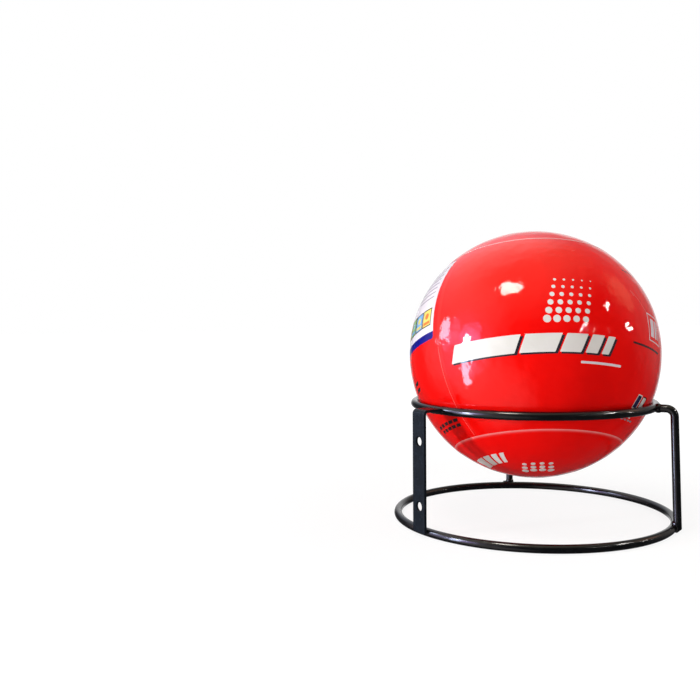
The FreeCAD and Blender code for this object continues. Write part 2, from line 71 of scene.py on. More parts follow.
class Shader:
    """The node tree of one material, with short calls for the nodes that the finishes share."""

    def __init__(self, name: str) -> None:
        """Starts a material with a plain Principled shader.

        Args:
            name: the material's name.
        """
        self.material = bpy.data.materials.new(name)
        self.material.use_nodes = True
        self.tree = self.material.node_tree
        self.surface = self.tree.nodes["Principled BSDF"]
        self.place = self.add("ShaderNodeTexCoord").outputs["Object"]

    def add(self, kind: str, **settings: object) -> bpy.types.Node:
        """Adds a node and sets its properties.

        Args:
            kind: Blender's name of the node type.
            settings: properties of the node, by name.

        Returns:
            The new node.
        """
        node = self.tree.nodes.new(kind)
        for name, value in settings.items():
            setattr(node, name, value)
        return node

    def set(self, **values: object) -> None:
        """Sets the shader's own sockets; an underscore stands for a space."""
        for name, value in values.items():
            self.surface.inputs[name.replace("_", " ")].default_value = value

    def link(self, output: bpy.types.NodeSocket, socket: str) -> None:
        """Links an output to one of the shader's sockets."""
        self.tree.links.new(output, self.surface.inputs[socket])

    def noise(self, per_metre: float, detail: float = 3.0, roughness: float = 0.5) -> bpy.types.NodeSocket:
        """Fractal noise over the object's own coordinates.

        Args:
            per_metre: how many cells of noise fit in a metre.
            detail: octaves.
            roughness: weight of the finer octaves.

        Returns:
            The noise value's socket.
        """
        node = self.add("ShaderNodeTexNoise")
        node.inputs["Scale"].default_value = per_metre
        node.inputs["Detail"].default_value = detail
        node.inputs["Roughness"].default_value = roughness
        self.tree.links.new(self.place, node.inputs["Vector"])
        return node.outputs["Fac"]

    def cells(self, per_metre: float, feature: str = "F1") -> bpy.types.NodeSocket:
        """Voronoi distance over the object's own coordinates.

        Args:
            per_metre: how many cells fit in a metre.
            feature: which of Blender's distances it is.

        Returns:
            The distance's socket.
        """
        node = self.add("ShaderNodeTexVoronoi", feature=feature)
        node.inputs["Scale"].default_value = per_metre
        self.tree.links.new(self.place, node.inputs["Vector"])
        return node.outputs["Distance"]

    def attribute(self, name: str) -> bpy.types.NodeSocket:
        """A number stored at the mesh's vertices."""
        return self.add("ShaderNodeAttribute", attribute_name=name).outputs["Fac"]

    def remap(
        self, value: bpy.types.NodeSocket, low: float, high: float, to_low: float = 0.0, to_high: float = 1.0
    ) -> bpy.types.NodeSocket:
        """Maps a range of a value smoothly onto another range.

        Args:
            value: the socket to map.
            low: input that gives to_low.
            high: input that gives to_high.
            to_low: lowest output.
            to_high: highest output.

        Returns:
            The mapped value's socket.
        """
        node = self.add("ShaderNodeMapRange", interpolation_type="SMOOTHSTEP")
        self.tree.links.new(value, node.inputs["Value"])
        for name, number in (("From Min", low), ("From Max", high), ("To Min", to_low), ("To Max", to_high)):
            node.inputs[name].default_value = number
        return node.outputs["Result"]

    def blend(
        self, share: bpy.types.NodeSocket, start: Colour | bpy.types.NodeSocket, end: Colour
    ) -> bpy.types.NodeSocket:
        """Blends two colours.

        Args:
            share: 0 gives start and 1 gives end.
            start: a colour, or a socket that carries one.
            end: the other colour.

        Returns:
            The blended colour's socket.
        """
        node = self.add("ShaderNodeMix", data_type="RGBA")
        self.tree.links.new(share, node.inputs["Factor"])
        if isinstance(start, tuple):
            node.inputs["A"].default_value = rgba(start)
        else:
            self.tree.links.new(start, node.inputs["A"])
        node.inputs["B"].default_value = rgba(end)
        return node.outputs["Result"]

    def bump(self, *layers: tuple[bpy.types.NodeSocket, float]) -> None:
        """Roughs the surface with stacked bumps.

        Args:
            layers: height sockets with their depths in metres.
        """
        normal = None
        for height, depth in layers:
            node = self.add("ShaderNodeBump")
            node.inputs["Distance"].default_value = depth
            self.tree.links.new(height, node.inputs["Height"])
            if normal is not None:
                self.tree.links.new(normal, node.inputs["Normal"])
            normal = node.outputs["Normal"]
        self.link(normal, "Normal")
        self.tree.links.new(normal, self.surface.inputs["Coat Normal"])


@dataclass(frozen=True)
class GlossFilm:
    """Glossy shrink film in one ink: a sharp clear gloss over a soft one, slightly orange-peeled."""

    name: str
    light: Colour
    deep: Colour
    stressed: Colour | None = None
    haze: float = 0.5
    haze_spread: float = 0.08
    gloss: float = 0.03
    gloss_index: float = 1.28

    def make(self) -> bpy.types.Material:
        """Makes the film's material, with paler stressed film where the mesh says so.

        Returns:
            The material.
        """
        shader = Shader(self.name)
        tone = shader.blend(shader.remap(shader.noise(38, 4), 0.35, 0.65), self.deep, self.light)
        if self.stressed:
            tone = shader.blend(shader.attribute("stress"), tone, self.stressed)
        shader.link(tone, "Base Color")
        low, high = self.haze - self.haze_spread, self.haze + self.haze_spread
        shader.link(shader.remap(shader.noise(90, 3), 0.3, 0.7, low, high), "Roughness")
        shader.set(Specular_IOR_Level=0.0, Coat_Weight=1.0)
        shader.set(Coat_Roughness=self.gloss, Coat_IOR=self.gloss_index)
        beads = shader.cells(290, "SMOOTH_F1")
        shader.bump(
            (beads, 0.00006),
            (shader.noise(150, 1, 0.4), 0.00024),
            (shader.noise(420, 1, 0.4), 0.00006),
            (shader.cells(620), 0.00002),
        )
        return shader.material


@dataclass(frozen=True)
class PowderCoat:
    """Gloss black powder coat on steel, with its fine orange peel."""

    name: str
    colour: Colour = (0.0028, 0.003, 0.0036)
    worn: Colour = (0.006, 0.0064, 0.0075)
    roughness: float = 0.15
    specular: float = 0.26
    smoother: float = 0.05
    rougher: float = 0.07

    def make(self) -> bpy.types.Material:
        """Makes the coat's material.

        Returns:
            The material.
        """
        shader = Shader(self.name)
        wear = shader.remap(shader.noise(120, 4), 0.45, 0.75)
        shader.link(shader.blend(wear, self.colour, self.worn), "Base Color")
        low, high = self.roughness - self.smoother, self.roughness + self.rougher
        shader.link(shader.remap(shader.noise(260, 3), 0.3, 0.7, low, high), "Roughness")
        shader.set(Specular_IOR_Level=self.specular)
        shader.bump((shader.noise(400, 1), 0.000005))
        return shader.material


@dataclass(frozen=True)
class BeadFoam:
    """White moulded foam, its beads pressed into a net of cells."""

    name: str
    colour: Colour = (0.86, 0.86, 0.83)
    seam: Colour = (0.72, 0.72, 0.69)
    beads_per_metre: float = 320

    def make(self) -> bpy.types.Material:
        """Makes the foam's material.

        Returns:
            The material.
        """
        shader = Shader(self.name)
        edge = shader.remap(shader.cells(self.beads_per_metre, "DISTANCE_TO_EDGE"), 0.0, 0.12)
        shader.link(shader.blend(edge, self.seam, self.colour), "Base Color")
        shader.link(shader.remap(shader.noise(200), 0.3, 0.7, 0.6, 0.8), "Roughness")
        shader.bump((edge, 0.0002))
        return shader.material


@dataclass(frozen=True)
class Grain:
    """A dull material of fine grain: moulded plastic, packed powder, rolled paper or cord."""

    name: str
    colour: Colour
    fleck: Colour
    per_metre: float
    depth: float
    roughness: float = 0.6
    spread: float = 0.08

    def make(self) -> bpy.types.Material:
        """Makes the grainy material.

        Returns:
            The material.
        """
        shader = Shader(self.name)
        grain = shader.noise(self.per_metre, 4, 0.6)
        shader.link(shader.blend(shader.remap(grain, 0.4, 0.7), self.colour, self.fleck), "Base Color")
        low, high = self.roughness - self.spread, self.roughness + self.spread
        shader.link(shader.remap(shader.noise(self.per_metre / 3), 0.3, 0.7, low, high), "Roughness")
        shader.bump((grain, self.depth))
        return shader.material


class Ink(Enum):
    """The inks of the film's print, over the red ground."""

    WHITE = GlossFilm("ink_white", (0.75, 0.72, 0.69), (0.7, 0.67, 0.63))
    SHADOW = GlossFilm("ink_shadow", (0.03, 0.022, 0.03), (0.02, 0.016, 0.022))
    PANEL = GlossFilm("ink_panel", (0.76, 0.69, 0.73), (0.7, 0.63, 0.68))
    NAVY = GlossFilm("ink_navy", (0.003, 0.005, 0.2), (0.002, 0.004, 0.16))
    GREY = GlossFilm("ink_grey", (0.3, 0.27, 0.3), (0.24, 0.21, 0.25))
    DARK = GlossFilm("ink_dark", (0.045, 0.018, 0.02), (0.03, 0.012, 0.014))
    YELLOW = GlossFilm("ink_yellow", (0.75, 0.62, 0.16), (0.68, 0.56, 0.12))
    GREEN = GlossFilm("ink_green", (0.3, 0.5, 0.16), (0.25, 0.44, 0.12))
    BLUE = GlossFilm("ink_blue", (0.2, 0.42, 0.72), (0.16, 0.36, 0.66))
    ORANGE = GlossFilm("ink_orange", (0.75, 0.2, 0.05), (0.68, 0.16, 0.04))
    INDIGO = GlossFilm("ink_indigo", (0.014, 0.015, 0.07), (0.01, 0.011, 0.05))
    SEAM = GlossFilm("film_seam", (0.84, 0.012, 0.01), (0.8, 0.008, 0.006))
    PALE = GlossFilm("film_pale", (0.84, 0.16, 0.15), (0.82, 0.1, 0.09))


def mesh_piece(
    name: str,
    points: np.ndarray,
    faces: list[tuple[int, ...]],
    finishes: list[bpy.types.Material],
    finish_of: list[int] | None = None,
    sharp: float = 40.0,
) -> bpy.types.Object:
    """Makes one closed piece that rides on the stand's body.

    Args:
        name: the piece's name.
        points: vertices in metres, one row each.
        faces: vertex numbers of each face.
        finishes: the piece's materials.
        finish_of: which material each face takes, or None for the first.
        sharp: angle in degrees above which an edge isn't smoothed.

    Returns:
        The new object.
    """
    mesh = bpy.data.meshes.new(name)
    mesh.from_pydata(points.tolist(), [], faces)
    for finish in finishes:
        mesh.materials.append(finish)
    if finish_of is not None:
        mesh.polygons.foreach_set("material_index", finish_of)
    mesh.shade_smooth()
    mesh.set_sharp_from_angle(angle=math.radians(sharp))
    piece = bpy.data.objects.new(name, mesh)
    bpy.context.scene.collection.objects.link(piece)
    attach(piece, BODY)
    LOG.info("%s: %d faces", name, len(faces))
    return piece


@dataclass
class BallFrame:
    """Where the ball lies: its centre, and its own poles leaning over in the seat."""

    radius: float = BALL_RADIUS * MM
    tilt: float = 20.0
    tilt_azimuth: float = 55.2
    centre: Vector = field(init=False)
    lean: np.ndarray = field(init=False)

    def __post_init__(self) -> None:
        """Works out the centre from the top of the film, and the turn from the lean."""
        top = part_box("film_cap_top")[1].z
        self.centre = Vector((0.0, 0.0, top - self.radius))
        azimuth = math.radians(self.tilt_azimuth)
        hinge = Vector((-math.sin(azimuth), math.cos(azimuth), 0.0))
        self.lean = np.array(Matrix.Rotation(math.radians(self.tilt), 3, hinge))

    @staticmethod
    def direction(azimuth: np.ndarray, latitude: np.ndarray) -> np.ndarray:
        """Unit vectors in the ball's own frame, from degrees round and above its equator."""
        turn, rise = np.broadcast_arrays(np.radians(azimuth), np.radians(latitude))
        return np.stack([np.cos(rise) * np.cos(turn), np.cos(rise) * np.sin(turn), np.sin(rise)], axis=-1)

    def place(self, direction: np.ndarray, radius: np.ndarray) -> np.ndarray:
        """Points of the model, from directions in the ball's frame and distances from its centre."""
        return (direction * radius[..., None]) @ self.lean.T + np.array(self.centre)


class Crinkle:
    """The film's uneven surface: soft dents, ripples, and puckers that fan out from the cap rims."""

    LAYERS = ((30.0, 0.12), (10.0, 0.1), (4.5, 0.08))
    PUCKERS = 74
    PUCKER_DEPTH = 0.02
    PUCKER_REACH = 5.0
    LIMIT = 0.1
    LATTICE = 256

    def __init__(self, seed: int, rims: tuple[float, float]) -> None:
        """Draws the noise lattice.

        Args:
            seed: start of the random draws.
            rims: latitudes of the two cap rims, in degrees.
        """
        draw = np.random.default_rng(seed)
        slopes = draw.normal(size=(self.LATTICE, 3))
        self.slopes = slopes / np.linalg.norm(slopes, axis=1)[:, None]
        self.order = draw.permutation(self.LATTICE)
        self.rims = rims

    def noise(self, points: np.ndarray) -> np.ndarray:
        """Gradient noise, smooth and without a bias.

        Args:
            points: rows of three coordinates, whose unit is one lattice cell.

        Returns:
            One value for each point, about -0.6 to 0.6.
        """
        cell = np.floor(points).astype(int)
        part = points - cell
        fade = part**3 * (part * (part * 6 - 15) + 10)
        total = np.zeros(len(points))
        for corner in itertools.product((0, 1), repeat=3):
            index = self.order[(cell[:, 0] + corner[0]) % self.LATTICE]
            index = self.order[(index + cell[:, 1] + corner[1]) % self.LATTICE]
            index = self.order[(index + cell[:, 2] + corner[2]) % self.LATTICE]
            share = np.prod(np.where(np.array(corner) == 1, fade, 1 - fade), axis=1)
            total += share * np.einsum("ij,ij->i", self.slopes[index], part - np.array(corner))
        return total

    def height(self, direction: np.ndarray) -> np.ndarray:
        """How far the film stands out from its even surface, in metres.

        Args:
            direction: unit vectors in the ball's frame, in any shape of array.

        Returns:
            Heights, in the array's shape without its last axis.
        """
        flat = direction.reshape(-1, 3)
        total = np.zeros(len(flat))
        for cell, depth in self.LAYERS:
            total += depth * self.noise(flat * (BALL_RADIUS / cell) + cell)
        latitude = np.degrees(np.arcsin(np.clip(flat[:, 2], -1, 1)))
        azimuth = np.arctan2(flat[:, 1], flat[:, 0])
        ragged = 6 * self.noise(flat * 2.2 + 9)
        for rim in self.rims:
            near = np.exp(-np.abs(latitude - rim) / self.PUCKER_REACH)
            fan = np.sin(self.PUCKERS * azimuth + ragged) * (0.5 + self.noise(flat * 5))
            total += self.PUCKER_DEPTH * near * fan
        return np.clip(total, -self.LIMIT, self.LIMIT).reshape(direction.shape[:-1]) * MM


@dataclass
class FilmSkin:
    """The red film round the ball: a sleeve about the middle, and a cap lapped over each end of it."""

    ball: BallFrame
    crinkle: Crinkle
    top_rim: float = TOP_RIM
    bottom_rim: float = BOTTOM_RIM
    pole: float = 89.4
    lap: float = 2.3
    step: float = 1.2 * MM
    thickness: float = 0.06 * MM
    sink: float = 0.1 * MM
    lap_rise: float = 0.065 * MM
    curl: float = 0.015 * MM
    curl_width: float = 0.35
    pale_width: float = 0.8
    pale_top: float = 0.9
    pale_bottom: float = 0.5
    joggle: float = 0.7
    sleeve_columns: int = 390
    cap_columns: int = 330
    edge_rows: tuple[float, ...] = (0.0, 0.1, 0.22, 0.36, 0.55, 0.8, 1.2)
    row_gap: float = 0.3
    red: GlossFilm = GlossFilm("film_red", (0.86, 0.0035, 0.0022), (0.82, 0.0028, 0.0018), (0.87, 0.5, 0.49))
    finish: bpy.types.Material = field(init=False)

    def __post_init__(self) -> None:
        """Makes the red film's material."""
        self.finish = self.red.make()

    def surface(self, direction: np.ndarray) -> np.ndarray:
        """Radius of the sleeve's outer face."""
        return self.ball.radius - self.sink + self.crinkle.height(direction)

    def latitudes(self, low: float, high: float, fine_low: bool, fine_high: bool) -> np.ndarray:
        """Latitudes of a film's rows, closer together where it ends.

        Args:
            low: lowest latitude in degrees.
            high: highest latitude in degrees.
            fine_low: whether the low end shows its edge.
            fine_high: whether the high end shows its edge.

        Returns:
            Rising latitudes in degrees.
        """
        rows = max(2, round(math.radians(high - low) * self.ball.radius / self.step))
        even = list(np.linspace(low, high, rows + 1))
        clear = max(self.edge_rows) + self.row_gap
        if fine_low:
            even = [low + d for d in self.edge_rows] + [v for v in even if v > low + clear]
        if fine_high:
            even = [v for v in even if v < high - clear] + [high - d for d in reversed(self.edge_rows)]
        return np.array(even)

    def shell(
        self, name: str, latitude: np.ndarray, columns: int, rise: np.ndarray, stress: np.ndarray
    ) -> None:
        """Makes one film piece, closed, with the CAD solid of the same name left out.

        Args:
            name: CAD node that the piece replaces.
            latitude: latitudes of the rows, rising.
            columns: points round each row.
            rise: each row's height over the sleeve's surface, in metres.
            stress: each row's paleness, 0 to 1.
        """
        azimuth = np.arange(columns) * 360 / columns
        direction = self.ball.direction(azimuth[None, :], latitude[:, None])
        outer = self.surface(direction) + rise[:, None]
        sheets = [self.ball.place(direction, outer), self.ball.place(direction, outer - self.thickness)]
        points = np.concatenate([s.reshape(-1, 3) for s in sheets])
        rows, count = len(latitude), len(latitude) * columns
        faces = []
        for row, column in itertools.product(range(rows - 1), range(columns)):
            a, b = row * columns + column, row * columns + (column + 1) % columns
            c, d = b + columns, a + columns
            faces.append((a, b, c, d))
            faces.append((count + d, count + c, count + b, count + a))
        for row in (0, rows - 1):
            ring = [row * columns + column for column in range(columns)]
            if abs(latitude[row]) > self.pole - self.row_gap:
                faces.append(tuple(ring if row else reversed(ring)))
                faces.append(tuple(count + v for v in (reversed(ring) if row else ring)))
                continue
            for a, b in zip(ring, ring[1:] + ring[:1]):
                rim = (a, count + a, count + b, b)
                faces.append(rim if row == 0 else tuple(reversed(rim)))
        piece = mesh_piece("skin_" + name, points, faces, [self.finish])
        marks = np.tile(np.repeat(stress, columns), 2).astype(np.float32)
        piece.data.attributes.new("stress", "FLOAT", "POINT").data.foreach_set("value", marks)
        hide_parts(name)

    def build(self) -> None:
        """Makes the sleeve and both caps."""
        sleeve = self.latitudes(self.bottom_rim - self.lap, self.top_rim + self.lap, False, False)
        level = np.zeros(len(sleeve))
        self.shell("film_body", sleeve, self.sleeve_columns, level, level)
        for name, rim, pole, paleness in (
            ("film_cap_top", self.top_rim, self.pole, self.pale_top),
            ("film_cap_bottom", self.bottom_rim, -self.pole, self.pale_bottom),
        ):
            sign = math.copysign(1, pole)
            rows = self.latitudes(*sorted((rim, pole)), sign > 0, sign < 0)
            inward = (rows - rim) * sign
            lapped = 1 - np.clip((inward - self.lap) / self.joggle, 0, 1) ** 2
            curl = self.curl * np.exp(-((inward / self.curl_width) ** 2))
            edge = np.exp(-((inward / self.pale_width) ** 2))
            self.shell(name, rows, self.cap_columns, self.lap_rise * lapped + curl, paleness * edge)


class PrintSheet:
    """Ink areas that lie on the film, gathered into one piece."""

    CELL = 1.3 * MM
    FLOOR = 0.012 * MM
    RING_CELL = 0.9
    DOT_CORE = 0.01
    CORNER_POINTS = 6
    SHARP = 30.0

    def __init__(self, name: str, skin: FilmSkin, palette: dict[Ink, bpy.types.Material]) -> None:
        """Starts an empty sheet of ink.

        Args:
            name: the piece's name.
            skin: the film that it lies on.
            palette: the material of each ink.
        """
        self.name, self.skin, self.ball, self.palette = name, skin, skin.ball, palette
        self.points: list[np.ndarray] = []
        self.faces: list[tuple[int, ...]] = []
        self.inks: list[Ink] = []
        self.ink_of: list[int] = []

    def slab(
        self, azimuth: np.ndarray, latitude: np.ndarray, ink: Ink, lift: float, closed: bool = False
    ) -> None:
        """Adds a thin closed slab of ink over a grid of directions.

        Args:
            azimuth: degrees round the ball, rows by columns.
            latitude: degrees above its equator, rows by columns.
            ink: the ink.
            lift: height of the ink's face over the film, in metres.
            closed: whether the last column meets the first.
        """
        rows, columns = azimuth.shape
        direction = self.ball.direction(azimuth, latitude)
        radius = self.skin.surface(direction)
        if ink not in self.inks:
            self.inks.append(ink)
        start = sum(len(p) for p in self.points)
        for height in (lift, self.FLOOR):
            self.points.append(self.ball.place(direction, radius + height).reshape(-1, 3))
        number = start + np.arange(rows * columns).reshape(rows, columns)
        number = np.hstack([number, number[:, :1]]).tolist()
        under = rows * columns
        made = []
        span = range(columns if closed else columns - 1)
        for row, column in itertools.product(range(rows - 1), span):
            a, b = number[row][column], number[row][column + 1]
            c, d = number[row + 1][column + 1], number[row + 1][column]
            made += [(a, b, c, d), (d + under, c + under, b + under, a + under)]
        for column in span:
            a, b = number[0][column], number[0][column + 1]
            made.append((a, a + under, b + under, b))
            a, b = number[-1][column], number[-1][column + 1]
            made.append((b, b + under, a + under, a))
        for row in range(0 if closed else rows - 1):
            a, b = number[row][0], number[row + 1][0]
            made.append((b, b + under, a + under, a))
            a, b = number[row][columns - 1], number[row + 1][columns - 1]
            made.append((a, a + under, b + under, b))
        self.faces += made
        self.ink_of += [self.inks.index(ink)] * len(made)

    def bar(
        self,
        ink: Ink,
        span: tuple[float, float],
        band: tuple[float, float],
        lift: float = 0.03,
        corner: float = 0.0,
        slant: float = 0.0,
    ) -> None:
        """Adds a four-sided area between two azimuths and two latitudes.

        Args:
            ink: the ink.
            span: its two azimuths in degrees.
            band: its two latitudes in degrees.
            lift: height over the film in millimetres.
            corner: radius of its corners in degrees of the sphere.
            slant: how far its upper edge is shifted round, in degrees.
        """
        (left, right), (low, high) = span, band
        squeeze = math.cos(math.radians((low + high) / 2))
        cell = math.degrees(self.CELL / self.ball.radius)
        columns = max(2, round((right - left) * squeeze / cell))
        rows = max(2, round((high - low) / cell))
        rise = np.linspace(0, 1, rows + 1)
        if corner:
            turn = (1 - np.cos(np.linspace(0, np.pi / 2, self.CORNER_POINTS))) * corner / (high - low)
            straight = rise[(rise > turn[-1]) & (rise < 1 - turn[-1])]
            rise = np.unique(np.round(np.concatenate([turn, straight, 1 - turn]), 9))
        depth = np.minimum(rise, 1 - rise) * (high - low)
        gap = np.clip(corner - depth, 0, corner)
        inset = (corner - np.sqrt(np.clip(corner**2 - gap**2, 0, None))) / squeeze
        across = np.linspace(0, 1, columns + 1)
        shift = slant * rise
        begin, end = left + shift + inset, right + shift - inset
        azimuth = begin[:, None] + (end - begin)[:, None] * across[None, :]
        latitude = np.repeat((low + (high - low) * rise)[:, None], columns + 1, axis=1)
        self.slab(azimuth, latitude, ink, lift * MM)

    def dot(self, ink: Ink, centre: tuple[float, float], radius: float, lift: float, sides: int) -> None:
        """Adds a round dot.

        Args:
            ink: the ink.
            centre: azimuth and latitude in degrees.
            radius: its radius in degrees of the sphere.
            lift: height over the film in millimetres.
            sides: points round it.
        """
        turn = np.linspace(0, 2 * np.pi, sides, endpoint=False)
        rings = max(2, round((radius - self.DOT_CORE) / self.RING_CELL) + 1)
        reach = np.linspace(radius, self.DOT_CORE, rings)
        squeeze = math.cos(math.radians(centre[1]))
        azimuth = centre[0] - reach[:, None] * np.cos(turn)[None, :] / squeeze
        latitude = centre[1] + reach[:, None] * np.sin(turn)[None, :]
        self.slab(azimuth, latitude, ink, lift * MM, closed=True)

    def frame(
        self, ink: Ink, span: tuple[float, float], band: tuple[float, float], width: float, lift: float = 0.04
    ) -> None:
        """Adds a rectangular outline.

        Args:
            ink: the ink.
            span: its two azimuths in degrees.
            band: its two latitudes in degrees.
            width: the line's width in degrees of the sphere.
            lift: height over the film in millimetres.
        """
        (left, right), (low, high) = span, band
        wide = width / math.cos(math.radians((low + high) / 2))
        self.bar(ink, (left, right), (low, low + width), lift)
        self.bar(ink, (left, right), (high - width, high), lift)
        self.bar(ink, (left, left + wide), (low + width, high - width), lift)
        self.bar(ink, (right - wide, right), (low + width, high - width), lift)

    def finish(self) -> None:
        """Makes the piece out of what was added."""
        piece = mesh_piece(
            self.name,
            np.concatenate(self.points),
            self.faces,
            [self.palette[ink] for ink in self.inks],
            self.ink_of,
            self.SHARP,
        )


@dataclass
class FilmPrint:
    """The print on the film: plain stripes in front, a label panel at left, and small marks."""

    skin: FilmSkin
    stripes_left: float = 188.6
    stripes_band: tuple[float, float] = (-16.2, -8.6)
    stripe_widths: tuple[float, ...] = (30.0, 15.0, 9.0, 5.5, 3.5)
    stripe_gap: float = 1.9
    slant: float = 3.2
    shadow_drop: float = 0.75
    shadow_side: float = 1.0
    palette: dict[Ink, bpy.types.Material] = field(init=False)

    def __post_init__(self) -> None:
        """Makes the material of each ink."""
        self.palette = {ink: ink.value.make() for ink in Ink}

    def sheet(self, name: str) -> PrintSheet:
        """An empty sheet of ink on the film."""
        return PrintSheet(name, self.skin, self.palette)

    def shadowed_bar(self, sheet: PrintSheet, span: tuple[float, float]) -> None:
        """Adds a slanted white bar with a dark edge below and at right of it.

        Args:
            sheet: the sheet that takes it.
            span: its two azimuths in degrees.
        """
        low, high = self.stripes_band
        drop, side = self.shadow_drop, self.shadow_side
        dark = (span[0] + side * 0.5, span[1] + side)
        sheet.bar(Ink.SHADOW, dark, (low - drop, high - drop), 0.03, 0.3, self.slant)
        sheet.bar(Ink.WHITE, span, (low, high), 0.055, 0.3, self.slant)

    def front(self) -> None:
        """A row of slanted bars that shorten towards the right, a field of dots, and a thin rule."""
        sheet = self.sheet("print_front_stripes")
        start = azimuth = self.stripes_left
        for width in self.stripe_widths:
            self.shadowed_bar(sheet, (azimuth, azimuth + width))
            azimuth += width + self.stripe_gap
        for row, column in itertools.product(range(6), range(5)):
            place = (start + 44 + 4.0 * column + 0.9 * row, -2.6 + 3.6 * row)
            sheet.dot(Ink.WHITE, place, 1.62 - 0.2 * row - 0.08 * column, 0.03, 28)
        sheet.bar(Ink.PANEL, (start + 58, start + 78), (-20.6, -19.6), 0.03, 0.3)
        sheet.finish()

    def panel(self) -> None:
        """The pale label at left: rules, a row of framed colour fields, and a navy band at the foot."""
        sheet = self.sheet("print_label_panel")
        left, right = 116.6, 179.1
        sheet.bar(Ink.NAVY, (left, right), (-2.2, 5.0), 0.025, 1.2)
        sheet.bar(Ink.NAVY, (left, right), (36.0, 42.5), 0.025, 1.2)
        sheet.bar(Ink.PANEL, (left, right), (1.2, 41.3), 0.05)
        fields = (Ink.YELLOW, Ink.BLUE, Ink.GREEN, Ink.ORANGE)
        width, gap = 7.4, 0.3
        for number in range(7):
            end = right - 2.0 - number * (width + gap)
            span = (end - width, end)
            sheet.frame(Ink.SHADOW, span, (4.6, 13.2), 0.5, 0.08)
            ground, accent = fields[number % 4], fields[(number + 3) % 4]
            sheet.bar(ground, (span[0] + 0.5, span[1] - 0.5), (5.1, 12.7), 0.065)
            sheet.dot(accent, (sum(span) / 2, 9.8), 1.5, 0.08, 24)
            sheet.bar(accent, (span[0] + 1, span[1] - 1), (5.7, 7.1), 0.08)
        draw = np.random.default_rng(RULE_SEED)
        for row in range(8):
            latitude = 19.0 + row * 2.6
            reach = draw.uniform(30, 52)
            sheet.bar(Ink.GREY, (right - 3.0 - reach, right - 3.0), (latitude, latitude + 0.6), 0.07)
        sheet.finish()

    def marks(self) -> None:
        """Small marks at right and at lower left, in plain bars, boxes and squares."""
        sheet = self.sheet("print_small_marks")
        sheet.frame(Ink.PANEL, (284.6, 297.1), (-5.5, 7.0), 0.45)
        for left, width in ((286.4, 3.4), (290.8, 1.9), (293.7, 1.0)):
            sheet.bar(Ink.PANEL, (left, left + width), (-3.4, 4.9), 0.04, 0.3, 0.8)
        sheet.bar(Ink.DARK, (272.6, 295.6), (-9.4, -8.5))
        for ink, face, left in ((Ink.WHITE, Ink.INDIGO, 283.8), (Ink.SHADOW, Ink.WHITE, 289.6)):
            sheet.bar(ink, (left, left + 4.6), (-35.6, -29.0), 0.03, 0.3, 1.2)
            sheet.bar(face, (left + 0.5, left + 4.1), (-35.1, -29.5), 0.05, 0.2, 1.0)
        sheet.bar(Ink.WHITE, (286.0, 288.6), (-40.2, -39.3))
        for left in (280.0, 283.4, 287.0, 290.2):
            sheet.bar(Ink.GREY, (left, left + 2.4), (-41.6, -40.8))
        for low in (-40.4, -43.0):
            for left in (151.0, 156.4, 161.8, 167.2, 172.6):
                sheet.bar(Ink.DARK, (left, left + 4.2), (low, low + 1.5), slant=0.8)
        for low in (-17.6, -20.6):
            sheet.bar(Ink.DARK, (150.1, 156.0), (low, low + 1.5), slant=1.5)
        sheet.finish()

    def underside(self) -> None:
        """The same plain stripes and dots again, small, on the bottom cap."""
        sheet = self.sheet("print_bottom_stripes")
        left = 139.0
        for width in (17.0, 10.0, 7.0, 5.0):
            sheet.bar(Ink.WHITE, (left, left + width), (-68.5, -61.5), 0.15, 0.2, 6.0)
            left += width + 3.4
        for row, column in itertools.product(range(3), range(4)):
            latitude = -79.0 + 3.4 * row
            turn = (column - 1.5) * 3.8 / math.cos(math.radians(latitude))
            sheet.dot(Ink.WHITE, (225.0 + turn, latitude), 1.5 - 0.25 * row, 0.15, 28)
        sheet.finish()

    def seam(self) -> None:
        """The sleeve's lapped side seam, its free edge pale where the film stretched."""
        sheet = self.sheet("skin_side_seam")
        sheet.bar(Ink.SEAM, (182.0, 184.2), (-49.0, 44.4), 0.05)
        sheet.bar(Ink.PALE, (181.95, 182.15), (-49.0, -6.8), 0.08)
        sheet.bar(Ink.DARK, (278.0, 291.0), (27.4, 28.0), 0.02)
        creases = ((286.5, 5.0, 10.0, -10.0), (277.0, 13.0, 2.5, -1.6), (249.0, 34.0, 0.5, 2.4))
        for left, low, length, lean in creases:
            sheet.bar(Ink.PALE, (left, left + 0.6), (low, low + length), 0.02, 0.0, lean)
        sheet.finish()

    def build(self) -> None:
        """Lays down the whole print."""
        self.front()
        self.panel()
        self.marks()
        self.underside()
        self.seam()


